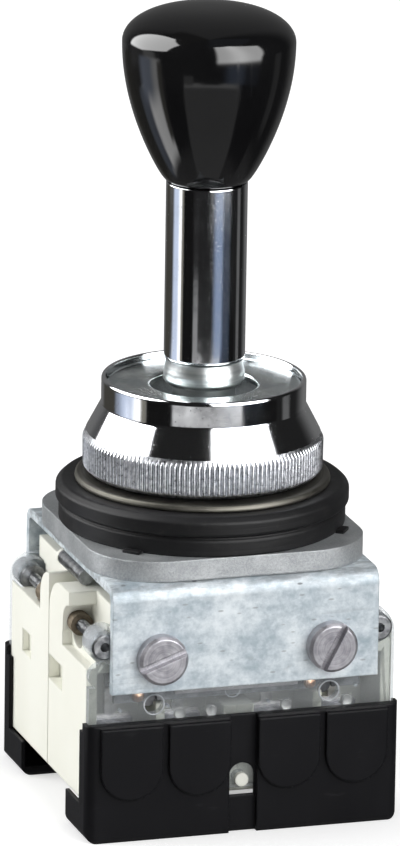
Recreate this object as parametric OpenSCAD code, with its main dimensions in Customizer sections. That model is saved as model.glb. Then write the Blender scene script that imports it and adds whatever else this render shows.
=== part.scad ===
// Heavy-duty panel joystick: a sprung lever in a gimbal works four pushers,
// and each pusher closes one pair of contacts in the two blocks below.
// The origin is on the lever axis, on the face that seats behind the panel.

/* [Head] */
// Side of the square base plate
plate_w = 47.2; // [45:0.1:50]
// Thickness of the base plate
plate_t = 3.5; // [3:0.1:5]
// Corner radius of the base plate
plate_corner_r = 11.4; // [8:0.1:13]
// Outside diameter of the threaded bushing
bushing_d = 29.8; // [29.4:0.1:30.2]
// Bore of the bushing
bushing_bore_d = 23; // [22.8:0.1:24]
// Pitch of the bushing thread
thread_pitch = 1.5; // [1:0.25:2]

/* [Gasket and washers] */
// Outside diameter of the gasket's lip
gasket_d = 48.8; // [47:0.1:50]
// Outside diameter of the gasket's foot
gasket_foot_d = 47.7; // [44:0.1:48]
// Height of the gasket
gasket_h = 6.8; // [5:0.1:7.5]
// Outside diameter of the thrust washer
thrust_d = 42.6; // [41:0.1:44]
// Thickness of the thrust washer
thrust_t = 1.2; // [0.8:0.1:1.6]
// Thickness of the cover washer in the ring nut
cover_washer_t = 1.2; // [0.8:0.1:1.5]
// Hole in the cover washer that the lever leans in
cover_hole_d = 17.8; // [17.6:0.1:19]

/* [Ring nut] */
// Diameter over the knurl
nut_d = 40; // [39:0.1:41]
// Overall height of the ring nut
nut_h = 15.8; // [15:0.1:17]
// Height of the knurled band
knurl_h = 6; // [5:0.1:7]
// Number of knurl teeth
knurl_n = 150; // [120:1:160]
// Depth of the knurl
knurl_depth = 0.42; // [0.3:0.01:0.6]
// Outside diameter of the plain rim
rim_d = 34; // [33.6:0.1:35]
// Height of the plain rim
rim_h = 4.7; // [4:0.1:5.5]
// Wall of the rim
rim_wall = 0.8; // [0.6:0.1:1]
// How far the cover washer lies below the rim
rim_lip = 1.2; // [0.8:0.1:1.6]

/* [Lever] */
// Height of the pivot above the panel seat
pivot_h = 15; // [14.5:0.1:15.5]
// Lean of the lever each way, in degrees
lean = 9; // [6:0.5:9]
// Diameter of the chrome sleeve
sleeve_d = 13.5; // [13:0.1:14]
// Bore of the chrome sleeve
sleeve_bore_d = 8.2; // [7:0.1:9]
// Length of the chrome sleeve
sleeve_len = 30.3; // [28:0.1:34]
// Height of the bead under the sleeve
bead_h = 4.2; // [3.5:0.1:5]
// Diameter of the neck that passes the cover washer
neck_d = 10.4; // [9:0.1:11]
// Diameter of the lever's hub in the gimbal
hub_d = 12.6; // [12:0.1:13]
// Height of the lever's hub
hub_h = 6; // [5:0.1:6.5]

/* [Knob] */
// Diameter at the knob's widest place
knob_d = 28.6; // [26:0.1:32]
// Diameter at the knob's foot
knob_foot_d = 13.8; // [13.6:0.1:14.6]
// Height of the flared part
knob_flare_h = 23.5; // [20:0.1:28]
// Height of the domed top
knob_dome_h = 6.4; // [4:0.1:9]
// Exponent of the flare: 1 is a plain sine
knob_flare_power = 0.82; // [0.7:0.01:1]
// Exponent of the dome: 2 is an ellipse
knob_dome_power = 2.5; // [2:0.1:3.5]
// Diameter of the threaded insert in the knob
insert_d = 10; // [9.4:0.1:11]
// Length of the threaded insert
insert_len = 12; // [8:0.1:16]

/* [Gimbal] */
// Outside diameter of the gimbal ring
gimbal_d = 21.2; // [20.8:0.1:21.6]
// Inside diameter of the gimbal ring
gimbal_bore_d = 15.2; // [14.8:0.1:15.6]
// Height of the gimbal ring
gimbal_h = 5; // [4.4:0.1:5.2]
// Diameter of the gimbal pins
pin_d = 2.5; // [2:0.1:3]
// Radial running clearance of pins and pushers
run_gap = 0.04; // [0.02:0.01:0.08]
// Radial clearance of parts that sit tight
seat_gap = 0.02; // [0.01:0.01:0.05]
// Clearance round loose covers
play = 0.1; // [0.05:0.01:0.2]

/* [Actuator] */
// Diameter of the actuator disc
disc_d = 19.8; // [19:0.1:20]
// Thickness of the actuator disc
disc_t = 2; // [1.6:0.1:2.4]
// Distance from the pivot to the underside of the disc
disc_drop = 7; // [6.8:0.1:7.5]
// Distance from the lever axis to each pusher tip
pusher_r = 7; // [6.8:0.1:7.2]
// Gap between the disc and a pusher tip at rest
tip_gap = 0.35; // [0.3:0.01:0.45]
// Diameter of the pusher's rod
rod_d = 2.8; // [2.4:0.1:3]
// Diameter of the pusher's stem in the block
stem_d = 3; // [2.6:0.1:3.2]
// Place of the stems in the blocks, along X and along Y
stem_xy = 6.2; // [6:0.1:6.4]
// Thickness of the pusher's foot
foot_t = 1.3; // [1:0.1:1.4]
// Mean diameter of the return spring
return_coil_d = 8.2; // [8:0.1:8.6]
// Wire of the return spring
return_wire_d = 1.1; // [0.8:0.1:1.2]

/* [Bracket] */
// Length of the bracket along X
bracket_w = 45.8; // [44:0.1:48]
// Size over the flanges along Y
bracket_d = 50.2; // [50.2:0.1:51]
// Thickness of the bracket's sheet
sheet_t = 1.5; // [1.2:0.1:1.6]
// Height of the bracket over the flanges
bracket_h = 18.2; // [17:0.1:20]
// Inside radius of the bends
bend_r = 1; // [0.5:0.1:2]
// Hole in the bracket under the bushing
bracket_hole_d = 22; // [21.6:0.1:23]
// Distance between the flange screws
flange_screw_x = 29.2; // [28.6:0.1:31]
// Drop of the flange screws below the panel seat
flange_screw_drop = 15.9; // [15:0.1:17]
// Head diameter of the flange screws
flange_head_d = 8.4; // [7:0.1:9]
// Shank diameter of the flange screws
flange_shank_d = 4; // [3:0.1:4.2]
// Distance between the plate screws, along X and along Y
plate_screw_xy = 33; // [31:0.1:34]

/* [Contact blocks] */
// Length of a block along X
block_w = 52.6; // [52:0.1:54]
// Depth of a block's body along Y
block_d = 21.8; // [21.8:0.1:22.4]
// Height of a block's body
block_h = 33; // [32:0.1:34]
// Drop of the blocks' top below the panel seat
block_drop = 7.9; // [7.8:0.1:8.4]
// Thickness of the clear cover
cover_t = 1.5; // [1.3:0.1:1.6]
// Top of the clear cover below the block's top
cover_drop = 3.1; // [2.8:0.1:3.4]
// Corner radius of the clear cover
cover_corner_r = 3.8; // [3:0.1:4]
// Diameter of the lobes that shroud the stacking screws
lobe_d = 6; // [5.6:0.1:6.2]
// Length of those lobes along Y
lobe_len = 4.4; // [3.5:0.1:5]
// Height of the shelf cut at the blocks' plain end, below the block's top
shelf_drop = 7.6; // [7:0.1:8]
// Thickness of the wall beside that shelf
end_wall = 5.3; // [4.8:0.1:5.4]
// Outer radius of the hood at the blocks' other end
hood_r = 6.2; // [5.8:0.1:6.4]
// Reach of the hood from the blocks' middle plane
hood_reach = 11.4; // [10.8:0.1:12]
// Depth of the end recesses along X
recess_d = 4.7; // [4.4:0.1:4.8]
// Half the gap between the two blocks
split_gap = 0.15; // [0.1:0.01:0.3]
// Wall between the blocks' inner faces and the contact space
back_wall = 3.4; // [3:0.1:3.6]

/* [Terminals] */
// Distance from the middle to the inner terminals
terminal_in_x = 7.7; // [7.6:0.1:8]
// Distance from the middle to the outer terminals
terminal_out_x = 19.4; // [19:0.1:19.6]
// Drop of the terminals below the block's top
terminal_drop = 25; // [24.5:0.1:26]
// Thickness of the contact strips
strip_t = 0.8; // [0.6:0.1:1]
// Depth of the terminal pockets
terminal_depth = 9.8; // [9:0.1:10]
// Side of a terminal's clamp plate
clamp_w = 7; // [6:0.1:7.4]
// Thickness of a clamp plate
clamp_t = 1.2; // [0.8:0.1:1.4]
// Head diameter of the terminal screws
terminal_head_d = 6.4; // [5.5:0.1:6.8]
// Shank diameter of the terminal screws
terminal_shank_d = 3; // [2.5:0.1:3.2]
// Width of a terminal pocket
terminal_bay_w = 10.2; // [9.4:0.1:10.4]

/* [Guards] */
// Top of the guards below the panel seat
guard_drop = 27; // [26:0.1:28]
// Height of a guard
guard_h = 20.2; // [19.5:0.1:22]
// Size over both guards' pads, along Y
guard_reach = 51.4; // [51:0.1:53]
// How far the guard stands out past the block's ends
guard_side = 0.7; // [0.5:0.05:1]
// Wall of a guard
guard_wall = 1.5; // [1.2:0.1:1.6]
// Width of a raised pad
pad_w = 10.6; // [9:0.1:11]
// Length of a raised pad
pad_h = 12.9; // [11:0.1:15]
// How far a pad stands out of the guard
pad_out = 0.8; // [0.4:0.1:1]
// Depth of the guard's bottom tray
tray_d = 12; // [8:0.1:14]
// How far the guard's ends reach back beside the block
guard_return = 4.4; // [3:0.1:6]
// Radius of the guard's corners
guard_corner_r = 1.8; // [1:0.1:2.4]
// Width of the guard's recessed middle
groove_w = 4.8; // [4.4:0.1:4.8]
// Depth of the guard's recessed middle
groove_depth = 1; // [0.4:0.1:1.1]
// Height of the guard's window over its bottom edge
window_up = 6.2; // [5:0.1:8]
// Diameter of the peg that shows in the window
peg_d = 2.3; // [2:0.1:2.6]

/* [Stacking screws] */
// Distance from a block's end to its stacking screw
stack_inset = 2.6; // [2.4:0.1:2.8]
// Drop of the stacking screws below the block's top
stack_drop = 6; // [5.8:0.1:6.2]
// How much lower the plain end's stacking screw sits, which keys the blocks
stack_step = 0.3; // [0.2:0.1:0.5]
// Pitch of the stacking screws' thread
stack_pitch = 0.5; // [0.4:0.1:0.8]
// Diameter of the screw's threaded socket end
socket_d = 4.4; // [3.8:0.1:4.6]
// Length of the socket end
socket_len = 5.5; // [5:0.1:7]
// Thread hole in the socket end
socket_hole_d = 1.6; // [1.4:0.1:1.8]
// Depth of the thread hole
socket_hole_len = 4.2; // [3:0.1:5]
// Diameter of the cross pins between bracket and blocks
cross_pin_d = 2.6; // [2.2:0.1:2.7]
// Distance from a block's end to its cross pin
cross_pin_inset = 3.8; // [3.6:0.1:4.4]
// Length of a cross pin
cross_pin_len = 12; // [10:0.1:14]
// Diameter of the collar that holds the stacking screw
collar_d = 3.8; // [3.6:0.1:4.4]
// Length of the collar
collar_len = 2.4; // [1.5:0.1:3]
// Diameter of the screw's shank
shank_d = 2; // [1.8:0.1:2.4]

/* [Hidden] */
$fn = 64;
eps = 0.01;

// heights worked out from the stack of pieces
bushing_h = gasket_h + thrust_t + nut_gap() + nut_h - rim_lip - cover_washer_t - 0.1;
thrust_z = gasket_h;
nut_z = thrust_z + thrust_t + nut_gap();
rim_top = nut_z + nut_h;
washer_z = rim_top - rim_lip - cover_washer_t;
bead_z = washer_z + cover_washer_t;
sleeve_z = bead_z + bead_h;
knob_z = sleeve_z + sleeve_len;
knob_top = knob_z + knob_flare_h + knob_dome_h;
disc_z = pivot_h - disc_drop;
tip_z = disc_z - tip_gap;
bracket_top = -plate_t;
bracket_under = bracket_top - sheet_t;
block_top = -block_drop;
block_bottom = block_top - block_h;
foot_top = bracket_under - 0.05;
travel = pusher_r * lean * PI / 180;
ceiling_t = 4.1;
pocket_top = block_top - ceiling_t;
bridge_t = 0.8;
bridge_z = pocket_top - travel - 5.4;
tab_top = bridge_z - travel - 0.18;
contact_reach = 4;
seat_top = bridge_z - 7.6;
strip_y = -block_d + terminal_depth;
cover_y = -block_d - cover_t;
guard_y = -guard_reach / 2 + pad_out;
guard_w = block_w + 2 * guard_side;
guard_end_t = guard_side - run_gap;
bridge_w = stem_d + 0.2;
spring_wire_d = stem_d / 6;
guard_bottom = -guard_drop - guard_h;
terminal_z = block_top - terminal_drop;
terminals = [-terminal_out_x, -terminal_in_x, terminal_in_x, terminal_out_x];
stack_z = block_top - stack_drop;
stack_x = block_w - 2 * stack_inset;
stack_points = [[-stack_x / 2, stack_z], [stack_x / 2, stack_z - stack_step]];
lobe_inset = 0.4;
lobe_x = stack_x - 2 * lobe_inset;
ledge_w = flange_screw_x * 0.72;
shelf_z = block_top - shelf_drop;
window_z = guard_bottom + window_up;
peg_z = window_z + 2.6;
collar_y = -block_d + 13.8;
carrier_y = -block_d + 1;

function nut_gap() = 0.6;

// ---- shared shapes ----

// A square with round corners, centred
module rounded_rect(w, d, r) {
    square([w - 2 * r, d], center = true);
    square([w, d - 2 * r], center = true);
    for (x = [-1, 1], y = [-1, 1])
        translate([x * (w / 2 - r), y * (d / 2 - r)]) circle(r);
}

// A rod along Y from y0 to y1
module rod_y(d, y0, y1) {
    translate([0, y0, 0]) rotate([-90, 0, 0]) cylinder(d = d, h = y1 - y0);
}

// A square bar along Y, from y0 to y1
module channel_y(w, y0, y1) {
    translate([-w / 2, y0, -w / 2]) cube([w, y1 - y0, w]);
}

// A rod along X from x0 to x1
module rod_x(d, x0, x1) {
    translate([x0, 0, 0]) rotate([0, 90, 0]) cylinder(d = d, h = x1 - x0);
}

// A coil spring that stands on z = 0, with its wire inside the height
module coil(mean_d, wire_d, height, turns, steps, sides) {
    n = turns * steps;
    ring = [for (i = [0 : n], k = [0 : sides - 1])
        let (
            a = 360 * i / steps,
            b = 360 * k / sides,
            r = mean_d / 2 + wire_d / 2 * cos(b),
            z = wire_d / 2 + (height - wire_d) * i / n + wire_d / 2 * sin(b)
        )
        [r * cos(a), r * sin(a), z]];
    wall = [for (i = [0 : n - 1], k = [0 : sides - 1])
        let (m = (k + 1) % sides)
        [i * sides + k, (i + 1) * sides + k, (i + 1) * sides + m, i * sides + m]];
    start = [[for (k = [0 : sides - 1]) k]];
    finish = [[for (k = [sides - 1 : -1 : 0]) n * sides + k]];
    polyhedron(ring, concat(wall, start, finish), convexity = 10);
}

// Both halves of what is repeated behind the lever, turned half a turn
module rear() {
    rotate([0, 0, 180]) children();
}

// ---- head ----

module head_casting() {
    crests = floor(bushing_h / thread_pitch) - 1;
    depth = 0.5;
    thread = [for (i = [0 : crests - 1])
        each [
            [bushing_d / 2, 1 + i * thread_pitch],
            [bushing_d / 2 - depth, 1 + (i + 0.5) * thread_pitch]
        ]];
    color("silver") difference() {
        union() {
            translate([0, 0, -plate_t])
                linear_extrude(plate_t) rounded_rect(plate_w, plate_w, plate_corner_r);
            rotate_extrude($fn = 96) polygon(concat(
                [[0, -1], [bushing_d / 2, -1]],
                thread,
                [[bushing_d / 2, bushing_h - 0.6], [bushing_d / 2 - 0.6, bushing_h], [0, bushing_h]]
            ));
        }
        translate([0, 0, -plate_t - 1]) cylinder(d = bushing_bore_d, h = bushing_h + plate_t + 2);
        translate([0, 0, -plate_t - 1]) cylinder(d = bushing_bore_d + 3.2, h = 1 + plate_t / 2);
        translate([0, 0, pivot_h]) rod_x(pin_d + 2 * seat_gap, -bushing_d, bushing_d);
        for (x = [-1, 1], y = [-1, 1])
            translate([x * plate_screw_xy / 2, y * plate_screw_xy / 2, -plate_t - 1])
                cylinder(d = 2.5 + 2 * seat_gap, h = plate_t);
    }
}

module gasket() {
    inner = bushing_d / 2 + 0.3;
    foot = gasket_foot_d / 2;
    lip = gasket_d / 2;
    // two nibs at the foot that keep the gasket from turning
    color("#26262a") for (a = [225, 325])
        rotate(a) translate([foot - 1, -1.6, 0]) cube([2.2, 3.2, 0.8]);
    color("#26262a") rotate_extrude($fn = 96) polygon([
        [inner, 0],
        [foot, 0],
        [foot, gasket_h * 0.4],
        [foot - 0.4, gasket_h * 0.44],
        [foot - 0.4, gasket_h * 0.5],
        [lip, gasket_h * 0.54],
        [lip, gasket_h - 0.9],
        [lip - 0.3, gasket_h - 0.3],
        [lip - 1, gasket_h],
        [inner, gasket_h]
    ]);
}

module thrust_washer() {
    inner = bushing_d / 2 + 0.3;
    lip = thrust_t / 2;
    color("#b9b4a6") translate([0, 0, thrust_z]) rotate_extrude($fn = 96) difference() {
        union() {
            translate([inner, 0]) square([thrust_d / 2 - lip - inner, thrust_t]);
            translate([thrust_d / 2 - lip, lip]) circle(lip, $fn = 24);
        }
    }
}

// The ring nut's outside as a turned profile, from the knurl to the rim
module nut_profile() {
    r = nut_d / 2;
    cone_h = nut_h - knurl_h - rim_h;
    polygon([
        [0, 0],
        [r - 0.7, 0],
        [r, 0.7],
        [r, knurl_h - 0.6],
        [r - 0.5, knurl_h + 0.5],
        [rim_d / 2 + 0.25, knurl_h + cone_h - 0.3],
        [rim_d / 2, knurl_h + cone_h + 0.1],
        [rim_d / 2, nut_h - 0.35],
        [rim_d / 2 - 0.35, nut_h],
        [0, nut_h]
    ]);
}

module ring_nut() {
    r = nut_d / 2;
    bore = bushing_d + 0.3;
    land = 0.1;
    color("#d9dbe0") translate([0, 0, nut_z]) difference() {
        intersection() {
            rotate_extrude($fn = 120) nut_profile();
            linear_extrude(nut_h) polygon([for (i = [0 : 2 * knurl_n - 1])
                let (q = r + land - (i % 2) * (knurl_depth + land), a = 180 * i / knurl_n)
                [q * cos(a), q * sin(a)]]);
        }
        translate([0, 0, -1]) cylinder(d = bore, h = nut_h + 2);
        translate([0, 0, nut_h - rim_lip - cover_washer_t])
            cylinder(d = rim_d - 2 * rim_wall, h = nut_h);
    }
}

module cover_washer() {
    outer = rim_d / 2 - rim_wall - 0.1;
    inner = cover_hole_d / 2;
    t = cover_washer_t;
    color("#a3a8a5") translate([0, 0, washer_z]) rotate_extrude($fn = 96) polygon(concat(
        [[outer, 0], [outer, t], [inner + t / 2, t]],
        [for (a = [110 : 20 : 250]) [inner + t / 2 + t / 2 * cos(a), t / 2 + t / 2 * sin(a)]],
        [[inner + t / 2, 0]]
    ));
}

// ---- lever ----

module lever_stem() {
    r = sleeve_d / 2;
    core = sleeve_bore_d / 2 - seat_gap;
    color("#9da3a0") difference() {
        union() {
            rotate_extrude($fn = 96) polygon(concat(
                [
                    [0, disc_z],
                    [3, disc_z],
                    [3, disc_z + disc_t],
                    [4, disc_z + disc_t],
                    [4, pivot_h - hub_h / 2],
                    [hub_d / 2, pivot_h - hub_h / 2],
                    [hub_d / 2, pivot_h + hub_h / 2],
                    [neck_d / 2, pivot_h + hub_h / 2],
                    [neck_d / 2, bead_z],
                    [r - 1, bead_z]
                ],
                [for (a = [-75 : 15 : 0]) [r - 1 + cos(a), bead_z + 1 + sin(a)]],
                [for (a = [0 : 15 : 75]) [r - 0.75 * sin(a), bead_z + bead_h * (0.45 + 0.55 * a / 90)]],
                [
                    [r - 0.9, sleeve_z],
                    [core, sleeve_z],
                    [core, knob_z],
                    [3.5, knob_z],
                    [3.5, knob_z + insert_len - 1],
                    [0, knob_z + insert_len - 1]
                ]
            ));
        }
        translate([0, 0, pivot_h]) rod_y(pin_d + 2 * run_gap, -hub_d, hub_d);
        translate([0, 0, disc_z - 1]) cylinder(d = 2.5 + 2 * seat_gap, h = 4);
    }
}

module lever_sleeve() {
    r = sleeve_d / 2;
    color("#dfe1e6") translate([0, 0, sleeve_z]) rotate_extrude($fn = 96) polygon([
        [sleeve_bore_d / 2, 0],
        [r - 0.85, 0],
        [r, 0.95],
        [r, sleeve_len],
        [sleeve_bore_d / 2, sleeve_len]
    ]);
}

// Radius of the flared part, t from 0 at the foot to 1 at the widest place
function flare_r(t) = knob_foot_d / 2
    + (knob_d - knob_foot_d) / 2 * pow(sin(90 * t), knob_flare_power);

module knob() {
    color("#101012") translate([0, 0, knob_z]) difference() {
        rotate_extrude($fn = 96) polygon(concat(
            [[0, 0], [knob_foot_d / 2 - 0.5, 0]],
            [for (i = [0 : 12]) [flare_r(i / 12), 0.3 + (knob_flare_h - 0.3) * i / 12]],
            [for (a = [8 : 8 : 88]) [
                knob_d / 2 * pow(cos(a), 2 / knob_dome_power),
                knob_flare_h + knob_dome_h * sin(a)
            ]],
            [[0, knob_flare_h + knob_dome_h]]
        ));
        translate([0, 0, -1]) cylinder(d = insert_d + 2 * seat_gap, h = insert_len + 1);
    }
}

module knob_insert() {
    color("#c9a24a") translate([0, 0, knob_z]) difference() {
        cylinder(d = insert_d, h = insert_len);
        translate([0, 0, -1]) cylinder(d = 7 + 2 * seat_gap, h = insert_len);
    }
}

// ---- gimbal and actuator ----

module gimbal_ring() {
    color("#8b8f94") translate([0, 0, pivot_h]) difference() {
        cylinder(d = gimbal_d, h = gimbal_h, center = true);
        cylinder(d = gimbal_bore_d, h = gimbal_h + 2, center = true);
        rod_x(pin_d + 2 * run_gap, -gimbal_d, gimbal_d);
        rod_y(pin_d + 2 * seat_gap, -gimbal_d, gimbal_d);
    }
}

module outer_pins() {
    x0 = gimbal_bore_d / 2 + 0.3;
    x1 = bushing_d / 2 - 0.6;
    color("#c6c8cc") translate([0, 0, pivot_h]) {
        rod_x(pin_d, x0, x1);
        rod_x(pin_d, -x1, -x0);
    }
}

module inner_pin() {
    half = gimbal_d / 2 - 0.3;
    color("#c6c8cc") translate([0, 0, pivot_h]) rod_y(pin_d, -half, half);
}

module actuator_disc() {
    color("#7c7f83") translate([0, 0, disc_z]) difference() {
        cylinder(d = disc_d, h = disc_t);
        translate([0, 0, -1]) cylinder(d = 6 + 2 * seat_gap, h = disc_t + 2);
    }
}

module actuator_screw() {
    color("#b8bbc0") {
        translate([0, 0, disc_z]) cylinder(d = 2.5, h = 2.8);
        translate([0, 0, disc_z - 1.2]) cylinder(d = 6.4, h = 1.2);
    }
}

module return_spring() {
    color("#8d9094") translate([0, 0, 0.1])
        coil(return_coil_d, return_wire_d, disc_z - 0.2, 4, 18, 6);
}

module guide_plate() {
    color("#e9e2cc") difference() {
        union() {
            translate([0, 0, -plate_t]) cylinder(d = bushing_bore_d + 3, h = plate_t / 2 - 0.1);
            translate([0, 0, -plate_t]) cylinder(d = bushing_bore_d - 0.2, h = plate_t);
        }
        for (a = [0 : 90 : 270])
            rotate(a) translate([0, -pusher_r, -plate_t - 1])
                cylinder(d = rod_d + 2 * run_gap, h = plate_t + 2);
    }
}

// A pusher: a domed rod under the disc, a foot, and a stem in the block
module pusher(turn) {
    dx = stem_xy;
    dy = pusher_r - stem_xy;
    reach = sqrt(dx * dx + dy * dy);
    dome = 0.5;
    color("#ece6d2") rotate(turn) {
        translate([0, -pusher_r, foot_top - foot_t]) {
            cylinder(d = rod_d, h = tip_z - dome - foot_top + foot_t);
            translate([0, 0, tip_z - dome - foot_top + foot_t]) rotate_extrude($fn = 48)
                polygon(concat([[0, 0]], [for (a = [0 : 15 : 90])
                    [rod_d / 2 * cos(a), dome * sin(a)]]));
            rotate(180 - atan2(dy, dx)) translate([0, -stem_d / 2, 0]) cube([reach, stem_d, foot_t]);
        }
        translate([-stem_xy, -stem_xy, 0]) {
            translate([0, 0, bridge_z + bridge_t])
                cylinder(d = stem_d, h = foot_top - bridge_z - bridge_t);
            translate([0, 0, bridge_z - 2]) cylinder(d = stem_d - 1, h = 2 + bridge_t + eps);
        }
    }
}

// The moving contact that a pusher carries; along is 0 when it lies along X
module bridge(turn, along) {
    color("#b87a4b") rotate(turn) translate([-stem_xy, -stem_xy, bridge_z]) rotate(along)
        difference() {
            translate([-contact_reach - bridge_w / 2, -bridge_w / 2, 0])
                cube([2 * contact_reach + bridge_w, bridge_w, bridge_t]);
            translate([0, 0, -1]) cylinder(d = stem_d - 1 + 2 * seat_gap, h = bridge_t + 2);
        }
}

module pusher_springs() {
    height = bridge_z - seat_top - 0.2;
    color("#8d9094") for (a = [0 : 90 : 270])
        rotate(a) translate([-stem_xy, -stem_xy, seat_top + 0.1])
            coil(stem_d * 1.2, spring_wire_d, height, 4, 12, 5);
}

// ---- bracket and its screws ----

module u_shape(w, h, r) {
    translate([-w / 2, -h]) square([w, h - r]);
    translate([-w / 2 + r, -r - eps]) square([w - 2 * r, r + eps]);
    for (x = [-1, 1])
        translate([x * (w / 2 - r), -r]) circle(r);
}

module bracket() {
    color("#b4bbbe") translate([0, 0, bracket_top]) difference() {
        translate([-bracket_w / 2, 0, 0]) rotate([90, 0, 90]) linear_extrude(bracket_w) difference() {
            u_shape(bracket_d, bracket_h, bend_r + sheet_t);
            translate([0, -sheet_t]) u_shape(bracket_d - 2 * sheet_t, bracket_h, bend_r);
        }
        translate([0, 0, -sheet_t - 1]) cylinder(d = bracket_hole_d, h = sheet_t + 2);
        for (x = [-1, 1], y = [-1, 1])
            translate([x * plate_screw_xy / 2, y * plate_screw_xy / 2, -sheet_t - 1])
                cylinder(d = 2.9, h = sheet_t + 2);
        for (x = [-1, 1])
            translate([x * flange_screw_x / 2, 0, -flange_screw_drop - bracket_top])
                rod_y(flange_shank_d + 0.3, -bracket_d, bracket_d);
    }
}

// A slotted screw whose head stands out along -Y, with its slot at an angle
module slotted_screw(head_d, head_t, shank_d, shank_len, slot) {
    difference() {
        union() {
            rotate([90, 0, 0]) rotate_extrude($fn = 64) polygon([
                [0, 0],
                [head_d / 2, 0],
                [head_d / 2, head_t - 0.5],
                [head_d / 2 - 0.5, head_t],
                [0, head_t]
            ]);
            rod_y(shank_d, -eps, shank_len);
        }
        rotate([0, -slot, 0]) translate([-head_d, -head_t - 1, -head_d * 0.07])
            cube([2 * head_d, 1 + head_t * 0.55, head_d * 0.14]);
    }
}

module flange_screws() {
    slots = [20, 62];
    color("#c9ccd0") for (side = [0, 180], i = [0, 1])
        rotate(side)
            translate([(2 * i - 1) * flange_screw_x / 2, -bracket_d / 2, -flange_screw_drop])
                slotted_screw(flange_head_d, 2.2, flange_shank_d, 9, slots[i]);
}

module plate_screws() {
    color("#b8bbc0") for (x = [-1, 1], y = [-1, 1])
        translate([x * plate_screw_xy / 2, y * plate_screw_xy / 2, bracket_under]) {
            cylinder(d = 2.5, h = sheet_t + plate_t - 1.5);
            translate([0, 0, -1.5]) cylinder(d = 5, h = 1.5);
        }
}

// ---- contact blocks ----

// The corner of a round hood, as seen along X: its outside from the middle
// plane over to the reach
module hood_cut() {
    y0 = -split_gap - hood_r;
    z0 = block_top - hood_r;
    difference() {
        translate([y0, z0]) square([hood_r + 1, hood_r + 1]);
        translate([y0, z0]) circle(hood_r);
    }
}

// What is cut out under the hood, down to the shelf, as seen along X
module hood_inside() {
    wall = split_gap + 7.8;
    roof = block_top - 2.3;
    r = 3.6;
    translate([-block_d - 5, shelf_z]) square([block_d + 5 - wall, roof - r - shelf_z]);
    translate([-block_d - 5, roof - r - eps]) square([block_d + 5 - wall - r, r + eps]);
    translate([-wall - r, roof - r]) circle(r);
    translate([-block_d - 5, roof - r]) square([block_d + 5 - hood_reach, r + 20]);
}

// What is cut away at the plain end: all above the shelf but a wall with a
// round shoulder
module shoulder_cut() {
    top = block_top + eps;
    r = end_wall - 0.2;
    translate([-block_d - 5, shelf_z]) square([block_d + 5 - end_wall, 20]);
    difference() {
        translate([-end_wall - 1, top - r]) square([r + 1, r + 1]);
        translate([-end_wall + r, top - r]) circle(r);
    }
}

// Turns a shape drawn in the Y-Z plane into a slab that lies along X
module along_x(x0, x1) {
    translate([x0, 0, 0]) rotate([90, 0, 90]) linear_extrude(x1 - x0) children();
}

module block_body() {
    w = block_w;
    bay_low = terminal_z - 4.7;
    inner_bay = stem_xy + contact_reach + 1.6;
    color("#f1efe2") difference() {
        union() {
            translate([-w / 2, -block_d, block_bottom]) cube([w, block_d - split_gap, block_h]);
            translate([0, 0, peg_z]) rod_y(peg_d, -block_d - cover_t - 0.8, -block_d + eps);
        }
        // contact space behind the clear cover
        translate([-inner_bay, -block_d - 1, seat_top])
            cube([2 * inner_bay, block_d + 1 - back_wall, pocket_top - seat_top]);
        // the way across from the contacts to the outer terminals
        translate([-terminal_out_x - 2, -block_d - 1, tab_top - 5])
            cube([2 * terminal_out_x + 4, terminal_depth + 1, 6]);
        // one bay for each terminal
        for (x = terminals)
            translate([x - terminal_bay_w / 2, -block_d - 1, bay_low])
                cube([terminal_bay_w, terminal_depth + 1, tab_top + 1 - bay_low]);
        for (x = terminals)
            translate([x, 0, terminal_z])
                rod_y(terminal_shank_d + 2 * seat_gap, -block_d, strip_y + 5);
        for (x = [-1, 1]) {
            // guide bores of the pusher stems
            translate([x * stem_xy, -stem_xy, pocket_top - 1])
                cylinder(d = stem_d + 2 * run_gap, h = ceiling_t + 2);
            // holes of the flange screws
            translate([x * flange_screw_x / 2, 0, -flange_screw_drop])
                rod_y(flange_shank_d + 2 * seat_gap, -block_d - 1, -block_d + 8.2);
        }
        for (p = stack_points) {
            // room for the cover's shrouds
            translate([p.x - sign(p.x) * lobe_inset, 0, p.y])
                rod_y(lobe_d + 2 * play, -block_d - 1, cover_y + lobe_len + play);
            // room for the stacking screws and their collars, down to a blind hole
            translate([p.x, 0, p.y]) {
                rod_y(shank_d + 2 * seat_gap, collar_y - 1, collar_y + 3.2);
                channel_y(socket_d + 2 * play, -block_d - 1, cover_y + socket_len + play);
                channel_y(shank_d + 2 * play, cover_y, collar_y - collar_len);
                rod_y(collar_d + 2 * play, collar_y - collar_len - play, collar_y);
            }
        }
        // the hooded end
        along_x(-w / 2 - 1, -w / 2 + 8) hood_cut();
        along_x(-w / 2 - 1, -w / 2 + recess_d) hood_inside();
        translate([-w / 2 - 1, -block_d - 1, shelf_z - 2.4]) cube([2.6, block_d - 6.8, 2.5]);
        translate([-w / 2 - 1, -hood_reach + 3.4, block_top - 18]) cube([3, 8.5, 4.2]);
        // the plain end
        along_x(w / 2 - recess_d, w / 2 + 1) shoulder_cut();
        translate([w / 2 - 1.2, -15.4, block_top - 18]) cube([3, 5.2, 4]);
    }
}

// The clear cover seen from the front, as a flat shape
module cover_outline() {
    w = block_w;
    top = block_top - cover_drop;
    r = cover_corner_r;
    low = block_bottom + 1;
    left = -lobe_x / 2 + 1;
    translate([left, low]) square([w / 2 - left, top - r - low]);
    translate([left, top - r - eps]) square([w / 2 - left - r, r + eps]);
    translate([w / 2 - r, top - r]) circle(r);
    translate([-w / 2, low]) square([left + w / 2 + eps, -20.8 - low]);
    translate([-w / 2 + 2.2, -20.8 + 1.9]) circle(2.2);
    translate([-lobe_x / 2, stack_z]) circle(d = lobe_d);
}

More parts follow.
